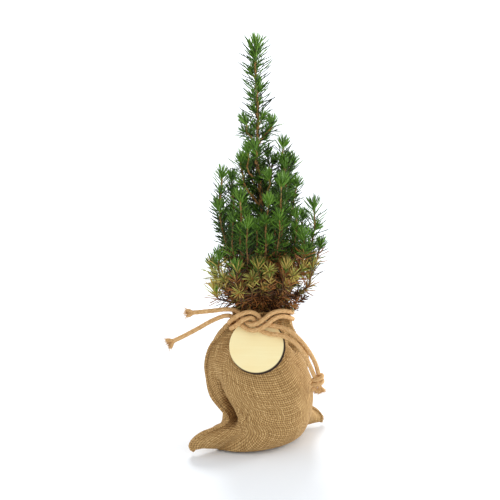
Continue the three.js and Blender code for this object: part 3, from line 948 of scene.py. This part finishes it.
bmesh.ops.rotate(tag_form, verts=tag_form.verts, matrix=Matrix.Rotation(math.pi / 2 - TAG_LEAN, 3, "X"))
bmesh.ops.translate(tag_form, verts=tag_form.verts, vec=(tag_low + tag_high) / 2)
tag = shaped("tag_disc", tag_form)
tag_finish = Finish("pale_plywood", roughness=0.55)
tag_place = tag_finish.node("ShaderNodeUVMap", uv_map="UVMap").outputs["UV"]
grain = tag_finish.noise(tag_place, (24, 420, 1))
# Painted shade: the burnt band is measured from a middle set off towards the upper left, so it runs wider on
# the lower right, where the tag's edge and the shadow under it show.
shade_shifted_middle = tag_finish.node(
    "ShaderNodeVectorMath", {0: tag_place, 1: (0.0010, -0.0008, 0)}, operation="ADD").outputs[0]
from_middle = tag_finish.node("ShaderNodeVectorMath", {0: shade_shifted_middle}, operation="LENGTH").outputs["Value"]
burnt_rim_and_shade = tag_finish.shades(
    tag_finish.sums("DIVIDE", from_middle, TAG_RADIUS), (0.962, 0, 0, 0), (0.99, 255, 255, 255))
face_colour = tag_finish.blend(
    tag_finish.noise(tag_place, (34, 60, 1), detail=1),
    tag_finish.shades(grain, (0.3, 250, 228, 168), (0.7, 252, 232, 174)),
    tag_finish.shades(grain, (0.3, 250, 238, 186), (0.7, 253, 242, 194)))
tag_finish.colour(tag_finish.blend(burnt_rim_and_shade, face_colour, tint(*BURNT_RIM_AND_SHADE)))
tag_finish.relief(grain, 0.00008, 0.4)
fit_out(tag, tag_finish, "tag_wood", "wooden_tag")

# ---------- trunk ----------
# The young stem stands upright in the soil, flares a little at its foot and tapers to the topmost
# bud. Its bark is brown and rough with the pegs that fallen needles leave, in winding rows.

TRUNK_LEAN = ((92.3, 0), (185, 0), (224, -1), (257, -4.7), (290, -3.5), (334, -6), (352.5, -5.4))
TRUNK_BENDS = (92.3, 120, 150, 185, 205, 224, 240, 257, 274, 290, 312, 334, 352.5)
TRUNK_RADIUS = (0.0033, 0.0007)
ROOT_FLARE = 0.0026
ROOT_FLARE_HEIGHT = 0.007
TRUNK_PEG = 0.00016
PEG_ROWS = 5
# Below the first height the bark is old and dark, above the second one young and pale.
BARK_AGES = (0.135, 0.23)


def trunk_place(height):
    """The middle of the trunk at a height."""
    heights, sideways = np.array(TRUNK_LEAN, float).T * MM
    return Vector((float(np.interp(height, heights, sideways)), 0, height))


def stem_part(line, sides, low, high, peg, flare=0.0):
    """A stem along a line: tapered, with winding rows of pegs and, for the trunk, a flared foot."""
    total = route_length(line)

    def reach(along, angle):
        share = np.clip(along / total, 0, 1)
        rows = np.sin(PEG_ROWS * angle + along / 0.0011) * np.sin(PEG_ROWS * angle - along / 0.0017)
        ridges = 0.5 * np.sin(3 * angle + along / 0.009)
        foot = flare * np.exp(-along / ROOT_FLARE_HEIGHT)
        return low + (high - low) * share ** 0.8 + peg * (rows + ridges) + foot
    return bent_column(line, sides, reach)


trunk_low, trunk_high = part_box("trunk")
trunk_route = smooth_route([trunk_place(height * MM) for height in TRUNK_BENDS], 0.0011)
trunk = joined_piece("trunk_bark", [stem_part(trunk_route, 14, *TRUNK_RADIUS, TRUNK_PEG, ROOT_FLARE)])
bark_finish = Finish("bark", roughness=0.9)
flakes = bark_finish.noise(bark_finish.attribute("straight"), (1100, 1100, 380), detail=5)
bark_place = bark_finish.node("ShaderNodeTexCoord").outputs["Object"]
height_up = bark_finish.node("ShaderNodeSeparateXYZ", {"Vector": bark_place}).outputs["Z"]
youth = bark_finish.node("ShaderNodeMapRange", {
    "Value": height_up, "From Min": BARK_AGES[0], "From Max": BARK_AGES[1]}).outputs["Result"]
bark_finish.colour(bark_finish.blend(
    youth,
    bark_finish.shades(flakes, (0.35, 58, 38, 26), (0.6, 112, 80, 54), (0.75, 150, 116, 82)),
    bark_finish.shades(flakes, (0.35, 146, 104, 58), (0.6, 194, 148, 92), (0.75, 220, 182, 130))))
bark_finish.relief(flakes, 0.0004)
fit_out(trunk, bark_finish, "bark", "trunk")

# ---------- boughs ----------
# Each bough leaves the trunk low, sweeps outwards and turns upright into a tall narrow shoot. Its
# tip is the tip of the foliage that it carries. One twig at the foot on the right has gone bare.

LIMB_SWEEP = 3.2
LIMB_STEP = 0.0012
BOUGH_RADIUS = (0.0014, 0.0006)
BARE_RADIUS = (0.0011, 0.0005)
BOUGH_PEG = 0.0001
BARE_FOOT = 0.126
LIMB_FEET = {
    # mm up the trunk
    "crest_left": 268, "crest_right": 267, "crest_front": 246, "upper_left": 214, "upper_right": 198,
    "upper_right_back": 186, "left_tall": 130, "left_back": 150, "front_left": 136, "front_right": 142,
    "front_middle": 150, "right_inner": 150, "right_back": 142, "right_tall": 132, "right_front": 133,
    "right_low": 127, "left_low": 130, "left_far": 126, "left_foot": 124, "skirt_left": 126,
    "skirt_front": 127, "skirt_right": 127, "back_high_left": 162, "back_high_right": 166,
    "back_middle": 144, "back_left": 130, "back_right": 130, "back_low": 126,
}
BUD_BELOW_TIP = 0.0078
# mm by which the last bud stands away from its mass's topmost point
SHORT_OF_TIP = {"crest_right": (-6, 0, -5.5), "front_left": (0, 0, -2.4), "left_back": (-2, 0, -1)}


def limb_line(foot, tip, rng, waver=0.0011, sweeps=LIMB_SWEEP):
    """The line of a limb from the trunk at height foot to its tip, with a little waver of its own."""
    root = trunk_place(foot)
    out = Vector((tip.x - root.x, tip.y - root.y, 0))
    count = max(8, round((tip - root).length / 0.004))
    swing = [rng.uniform(0, 2 * math.pi) for _ in range(4)]
    line = []
    for i in range(count + 1):
        share = i / count
        sway = waver * min(1.0, 4 * share)
        line.append(root + out * (1 - (1 - share) ** sweeps) + Vector((
            sway * (math.sin(5 * share + swing[0]) + 0.5 * math.sin(13 * share + swing[1])),
            sway * (math.sin(6 * share + swing[2]) + 0.5 * math.sin(11 * share + swing[3])),
            (tip.z - foot) * share)))
    return smooth_route(line, LIMB_STEP)


def mass_tip(node):
    """The topmost point of a CAD mass, which is where its limb ends."""
    return max((v.co for v in nodes[node].data.vertices), key=lambda place: place.z).copy()


rng = random.Random(11)
limbs = {}
for name, foot in LIMB_FEET.items():
    tip = mass_tip("foliage_" + name) - Vector((0, 0, BUD_BELOW_TIP))
    if name in SHORT_OF_TIP:
        tip += Vector(SHORT_OF_TIP[name]) * MM
    limbs[name] = limb_line(foot * MM, tip, rng, sweeps=1.4 if foot > 240 else LIMB_SWEEP)
twig_parts = []
for name, line in limbs.items():
    part = stem_part(line, 9, *BOUGH_RADIUS, BOUGH_PEG)
    if "bough_" + name in nodes:
        fit_out(joined_piece("bough_bark_" + name, [part]), bark_finish, "bark", "bough_" + name)
    else:
        twig_parts.append(part)

bare_low, bare_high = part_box("bough_right_foot")
bare_tip = Vector((bare_high.x - 0.001, bare_low.y + 0.001, bare_high.z - 0.001))
bare_line = limb_line(BARE_FOOT, bare_tip, rng, sweeps=1.5)
bare_bough = joined_piece("bough_bark_right_foot", [stem_part(bare_line, 9, *BARE_RADIUS, BOUGH_PEG)])
fit_out(bare_bough, bark_finish, "bark", "bough_right_foot")

# ---------- twigs ----------
# Limbs fork into upright companions, and short side shoots stand round them at the turn that needles
# and shoots keep. Dark shoots fill the heart of the crown. At its foot the oldest are dead and bare.

GOLDEN_TURN = math.radians(137.5)
TWIG_RADIUS = (0.0007, 0.0004)
FORK_RADIUS = (0.001, 0.0005)
TWIG_PEG = 0.00004
SHOOT_STEP = 0.0015
DEAD_RADIUS = (0.00045, 0.0002)
PALE_RADIUS = (0.0006, 0.0003)
DEAD_PEG = 0.00003
HEART_SHOOTS = 64
DEAD_TWIGS = 60
PALE_TWIGS = 16
LEADER_SHOOTS = (
    # side shoots up the leader: mm up and degrees round it
    (338, 190), (330, 20), (324, 110), (319, 265), (311, 330), (304, 175), (300, 30), (293, 130), (286, 300),
    (279, 80), (254, 30), (240, 100), (231, 210), (222, 320), (212, 60), (204, 160), (196, 250),
)
CREST_SHOOTS = (
    # more shoots high on the leader: degrees round it, mm out, mm up at the foot and at the tip
    (222, 14, 236, 266), (150, 13, 228, 252), (300, 12, 218, 244), (345, 21, 204, 240), (60, 13, 226, 258),
    (170, 26, 176, 226), (20, 30, 176, 232), (320, 24, 180, 226), (40, 13, 216, 252),
    (85, 18, 204, 244), (10, 15, 196, 228), (120, 16, 214, 246),
)
STARS = (
    # old yellow rosettes that face outwards, low on the crown: X, Y and Z in mm
    (5.5, -33, 167.5), (-8.5, -34, 160), (26, -27, 161), (-32, -24, 157), (-19, -31, 147),
)
stems = []


def add_stem(line, bare, reach, old=0.0, brush=14, opens=54, apart=0.0008):
    """Notes a stem that will carry needles: where, from what share up, how long, how withered."""
    stems.append((line, bare, reach, old, brush, opens, apart))


def add_twig(line, bare, reach, radius=TWIG_RADIUS, **needles):
    """A new twig and the needles that it will carry."""
    twig_parts.append(stem_part(line, 5, *radius, TWIG_PEG))
    add_stem(line, bare, reach, **needles)


def turned_off(along, turn):
    """A direction square to another, at a turn round it."""
    return Matrix.Rotation(turn, 3, along) @ along.orthogonal().normalized()


def side_shoot(line, share, turn, length, lean, rise):
    """The line of a shoot that leaves another at a share of its length and bends upright."""
    index = min(len(line) - 2, int(share * (len(line) - 1)))
    start = Vector(line[index])
    along = (Vector(line[index + 1]) - start).normalized()
    heading = (along * math.cos(lean) + turned_off(along, turn) * math.sin(lean)).normalized()
    up = (along * 0.4 + Vector((0, 0, 0.6))).normalized()
    middle = start + heading * length * 0.5
    end = middle + (heading * (1 - rise) + up * rise).normalized() * length * 0.5
    return smooth_route([start, middle, end], SHOOT_STEP)


for number, (name, line) in enumerate(limbs.items()):
    total = route_length(line)
    add_stem(line, 0.12, 0.0145 if name == "right_tall" else 0.0130, brush=30,
             apart=0.0011 if name in ("right_low", "skirt_right") else 0.0007)
    for i in range((1 if "right_" in name else 2) if total > 0.07 else 0):
        start = int(len(line) * rng.uniform(0.16, 0.34))
        turn = number * 1.9 + i * math.pi + rng.uniform(-0.5, 0.5)
        away = level_way(turn) * rng.uniform(0.006, 0.009)
        stop = int(len(line) * rng.uniform(0.66, 0.86))
        fork = np.array([Vector(line[k]) + away * eased(0, 0.45, (k - start) / (stop - start))
                         for k in range(start, stop)])
        add_twig(fork, 0.1, 0.011, FORK_RADIUS, brush=24)
    count = round(total / 0.016)
    for i in range(count):
        share = 0.2 + 0.7 * (i + rng.random() * 0.6) / count
        length = (0.004 + 0.007 * (1 - share)) * rng.uniform(0.8, 1.2) * min(1.0, total / 0.06)
        turn = i * GOLDEN_TURN + rng.uniform(-0.4, 0.4)
        add_twig(side_shoot(line, share, turn, length, math.radians(rng.uniform(30, 48)), 0.6), 0.08, 0.0096)

add_stem(trunk_route[int(len(trunk_route) * 0.4):], 0.0, 0.0178, brush=0, opens=60, apart=0.0005)
add_stem(trunk_route[-14:], 0.0, 0.0128, old=-1.0, brush=44, opens=44)
for i, (height, turn) in enumerate(LEADER_SHOOTS):
    share = (height * MM - trunk_low.z) / (trunk_high.z - trunk_low.z)
    length = 0.0045 + 0.003 * (i % 3) / 2 + (0.004 if height < 260 else 0)
    shoot = side_shoot(trunk_route, share, math.radians(turn), length, math.radians(36), 0.4)
    add_twig(shoot, 0.1, 0.0098, brush=18)
for turn, reach, foot, top in CREST_SHOOTS:
    out = level_way(math.radians(turn)) * reach * MM
    line = limb_line(foot * MM, trunk_place(foot * MM) + out + Vector((0, 0, (top - foot) * MM)), rng)
    add_twig(line, 0.1, 0.0112, FORK_RADIUS, brush=26)

for i in range(HEART_SHOOTS):
    height = 0.124 + 0.05 * (i / HEART_SHOOTS) ** 1.1
    tip = trunk_place(height) + level_way(i * GOLDEN_TURN) * rng.uniform(0.007, 0.022)
    tip.z += rng.uniform(0.018, 0.034)
    add_twig(limb_line(height, tip, rng), 0.15, 0.0105)
for x, y, z in STARS:
    line = limb_line(0.128 + 0.1 * max(0.0, z * MM - 0.14), Vector((x, y, z)) * MM, rng)
    add_twig(line, 0.35, 0.0085, old=0.8, brush=0)
add_stem(bare_line, 0.35, 0.0062, old=1.0, brush=8)

dead_parts = []
for i in range(DEAD_TWIGS):
    turn = i * GOLDEN_TURN
    height = rng.uniform(0.119, 0.136)
    tip = trunk_place(height) + Vector((math.cos(turn), 0.7 * math.sin(turn), 0)) * rng.uniform(0.012, 0.031)
    tip.z = max(0.126 - 0.2 * (tip - trunk_place(tip.z)).length, height + rng.uniform(-0.008, 0.02))
    line = limb_line(height, tip, rng, waver=0.0007, sweeps=1.6)
    dead_parts.append(stem_part(line, 5, *DEAD_RADIUS, DEAD_PEG))
    if i % 3:
        add_stem(line, 0.2, 0.0074, old=1.0, brush=5)
for i in range(PALE_TWIGS):
    tip = Vector((rng.uniform(-20, 10), rng.uniform(-24, -15), rng.uniform(121, 142))) * MM
    line = limb_line(rng.uniform(0.119, 0.13), tip, rng, waver=0.001, sweeps=1.3)
    dead_parts.append(stem_part(line, 5, *PALE_RADIUS, DEAD_PEG))
fit_out(joined_piece("twigs", twig_parts), bark_finish, "bark")
dead_finish = Finish("dead_twig", roughness=0.9)
weathered = dead_finish.noise(dead_finish.attribute("straight"), (900, 900, 300))
dead_finish.colour(dead_finish.shades(weathered, (0.35, 146, 102, 58), (0.7, 206, 164, 108)))
fit_out(joined_piece("dead_twigs", dead_parts), dead_finish, "bark")

# ---------- needles ----------
# Four-sided needles, 4 to 20 mm long, stand all round every shoot and gather in a brush at its tip.
# Tips are fresh green. Needles on old wood and in the heart of the crown are dark, partly from age
# and partly as painted shade. The lowest needles have turned olive, yellow and brown.

NEEDLE_WIDTH = 0.00041
NEEDLE_BEND = 0.14
STAR_NEEDLES = 24
STAR_REACH = 0.0086
# Masses whose tops are lower than this carry withered needles.
OLD_BELOW = 0.172
NEEDLE_KINDS = {
    # the kinds of needle, each with its colour and its record slot
    "fresh": ((120, 162, 56), "needles"),
    "bright": ((98, 139, 44), "needles"),
    "green": ((70, 103, 34), "needles"),
    "deep": ((45, 69, 23), "needles"),
    "dark": ((25, 34, 15), "needles"),
    "lime": ((192, 194, 98), "old_needles"),
    "olive": ((132, 122, 56), "old_needles"),
    "yellow": ((208, 182, 96), "old_needles"),
    "rust": ((168, 110, 58), "old_needles"),
    "brown": ((84, 54, 32), "old_needles"),
}


def needles_of(name, sprays, colour, slot):
    """All needles of one kind, joined: rows of foot, heading, bend, length and width. Each is
    four-sided, blunt at its foot and pointed at its tip."""
    angle, ring, faces = straight_column(4, 2)
    angle = angle[:, None]
    thick = np.choose(ring, (0.72, 1.0, 0.14))[:, None]
    share = np.choose(ring, (0, 0.74, 1.0))[:, None]
    rows = np.array(sprays)[:, None]
    foot, heading, bend, length, width = np.split(rows, (3, 6, 9, 10), axis=2)
    across = np.cross(heading, bend)
    across /= np.linalg.norm(across, axis=2, keepdims=True) + 1e-9
    out = np.cos(angle) * across + np.sin(angle) * np.cross(heading, across)
    curve = share ** 2 * length * NEEDLE_BEND * bend
    points = foot + share * length * heading + curve + out * (thick * width)
    every = [[index + i * len(angle) for index in face] for i in range(len(rows)) for face in faces]
    mesh = bpy.data.meshes.new(name)
    mesh.from_pydata(points.reshape(-1, 3).tolist(), [], every)
    finish = Finish(name, roughness=0.42, gloss=0.36)
    finish.colour(tint(*colour))
    piece = put_in_scene(name, mesh)
    fit_out(piece, finish, slot)
    return piece


def kind_for(place, from_tip, old):
    """The kind of needle that a spray carries, from its height, its depth in the crown and its age."""
    depth = math.hypot(place.x + 0.002, place.y)
    lean_right = 0.25 * min(0.02, max(-0.012, place.x))
    withered = 1 - eased(0.150, 0.188, place.z + 0.2 * (depth - 0.02) - lean_right)
    near_tip = from_tip < 0.007
    if old < 0:
        kinds = "fresh", "fresh", "bright"
    elif rng.random() < max(withered, old):
        if place.z < 0.148 and depth < 0.036 or old > 0.9:
            kinds = "brown", "rust", "brown", "rust", "rust", "brown", "brown", "olive"
        elif old > 0.5:
            kinds = "yellow", "olive", "rust", "olive"
        elif place.x < -0.022:
            kinds = ("lime", "fresh", "lime", "yellow") if near_tip else ("lime", "olive", "yellow", "lime")
        elif place.x > 0.028:
            kinds = ("lime", "olive", "yellow") if near_tip else ("rust", "rust", "brown", "olive", "rust")
        elif near_tip:
            kinds = "olive", "yellow", "rust"
        else:
            kinds = "rust", "brown", "brown", "rust", "rust", "deep"
    elif near_tip:
        kinds = "fresh", "bright", "bright", "green"
    # Needles near the trunk and far back from the tip take the darkest greens: partly because they are older,
    # partly as painted shade for the heart of the crown.
    elif depth < 0.013 and place.z < 0.25 or from_tip > 0.045:
        kinds = "dark", "deep", "dark", "green"
    else:
        kinds = "bright", "green", "green", "deep", "deep", "dark"
    return rng.choice(kinds)


sprays = {kind: [] for kind in NEEDLE_KINDS}


def set_needle(kind, foot, along, turn, angle, length):
    """A needle that stands off its stem by an angle, at a turn round it."""
    heading = (along * math.cos(angle) + turned_off(along, turn) * math.sin(angle)).normalized()
    sprays[kind].append((*foot, *heading, *along, length, NEEDLE_WIDTH * rng.uniform(0.85, 1.15)))


for line, bare, reach, old, brush, opens, apart in stems:
    total = route_length(line)
    count = round(total * (1 - bare) / apart)
    start_turn = rng.uniform(0, 6.28)
    for i in range(count):
        share = bare + (1 - bare) * (i + 0.5) / count
        index = min(len(line) - 2, int(share * (len(line) - 1)))
        before, after = Vector(line[index]), Vector(line[index + 1])
        foot = before.lerp(after, share * (len(line) - 1) - index)
        from_tip = (1 - share) * total
        if i % 4 == 0:
            kind = kind_for(foot, from_tip, old)
        angle = math.radians(rng.gauss(opens, 8) - 18 * max(0.0, 1 - from_tip / 0.010))
        length = reach * rng.uniform(0.78, 1.1) * (0.82 + 0.18 * min(1.0, from_tip / 0.006))
        set_needle(kind, foot, (after - before).normalized(), start_turn + i * GOLDEN_TURN, angle, length)
    tip = Vector(line[-1])
    along = (tip - Vector(line[-3])).normalized()
    # The leader's top brush is long, and reaches further down.
    length, spread_down = (0.84, 0.010) if old < 0 else (0.62, 0.004)
    for i in range(brush):
        if i % 4 == 0:
            kind = kind_for(tip, 0.0, old)
        angle = math.radians(5 + (opens - 8) * math.sqrt((i + 0.5) / brush) * rng.uniform(0.8, 1.1))
        below = spread_down * i / brush
        set_needle(kind, tip - along * below, along, i * GOLDEN_TURN, angle,
                   (0.0018 + length * reach) * rng.uniform(0.8, 1.1))
for x, y, z in STARS:
    middle = Vector((x, y, z)) * MM
    facing = (middle - trunk_place(middle.z - 0.02)).normalized()
    for i in range(STAR_NEEDLES):
        if i % 3 == 0:
            kind = rng.choice(("yellow", "olive", "lime", "olive", "olive", "rust"))
        angle = math.radians(14 + 74 * math.sqrt((i + 0.5) / STAR_NEEDLES))
        set_needle(kind, middle, facing, i * GOLDEN_TURN, angle, STAR_REACH * rng.uniform(0.75, 1.15))

needle_pieces = {kind: needles_of("needles_" + kind, sprays[kind], *made_as)
                 for kind, made_as in NEEDLE_KINDS.items()}
masses = sorted(name for name in nodes if name.startswith("foliage_"))
old_masses = [name for name in masses if mass_tip(name).z < OLD_BELOW]
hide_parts(*old_masses)
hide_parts(*[name for name in masses if name not in old_masses])
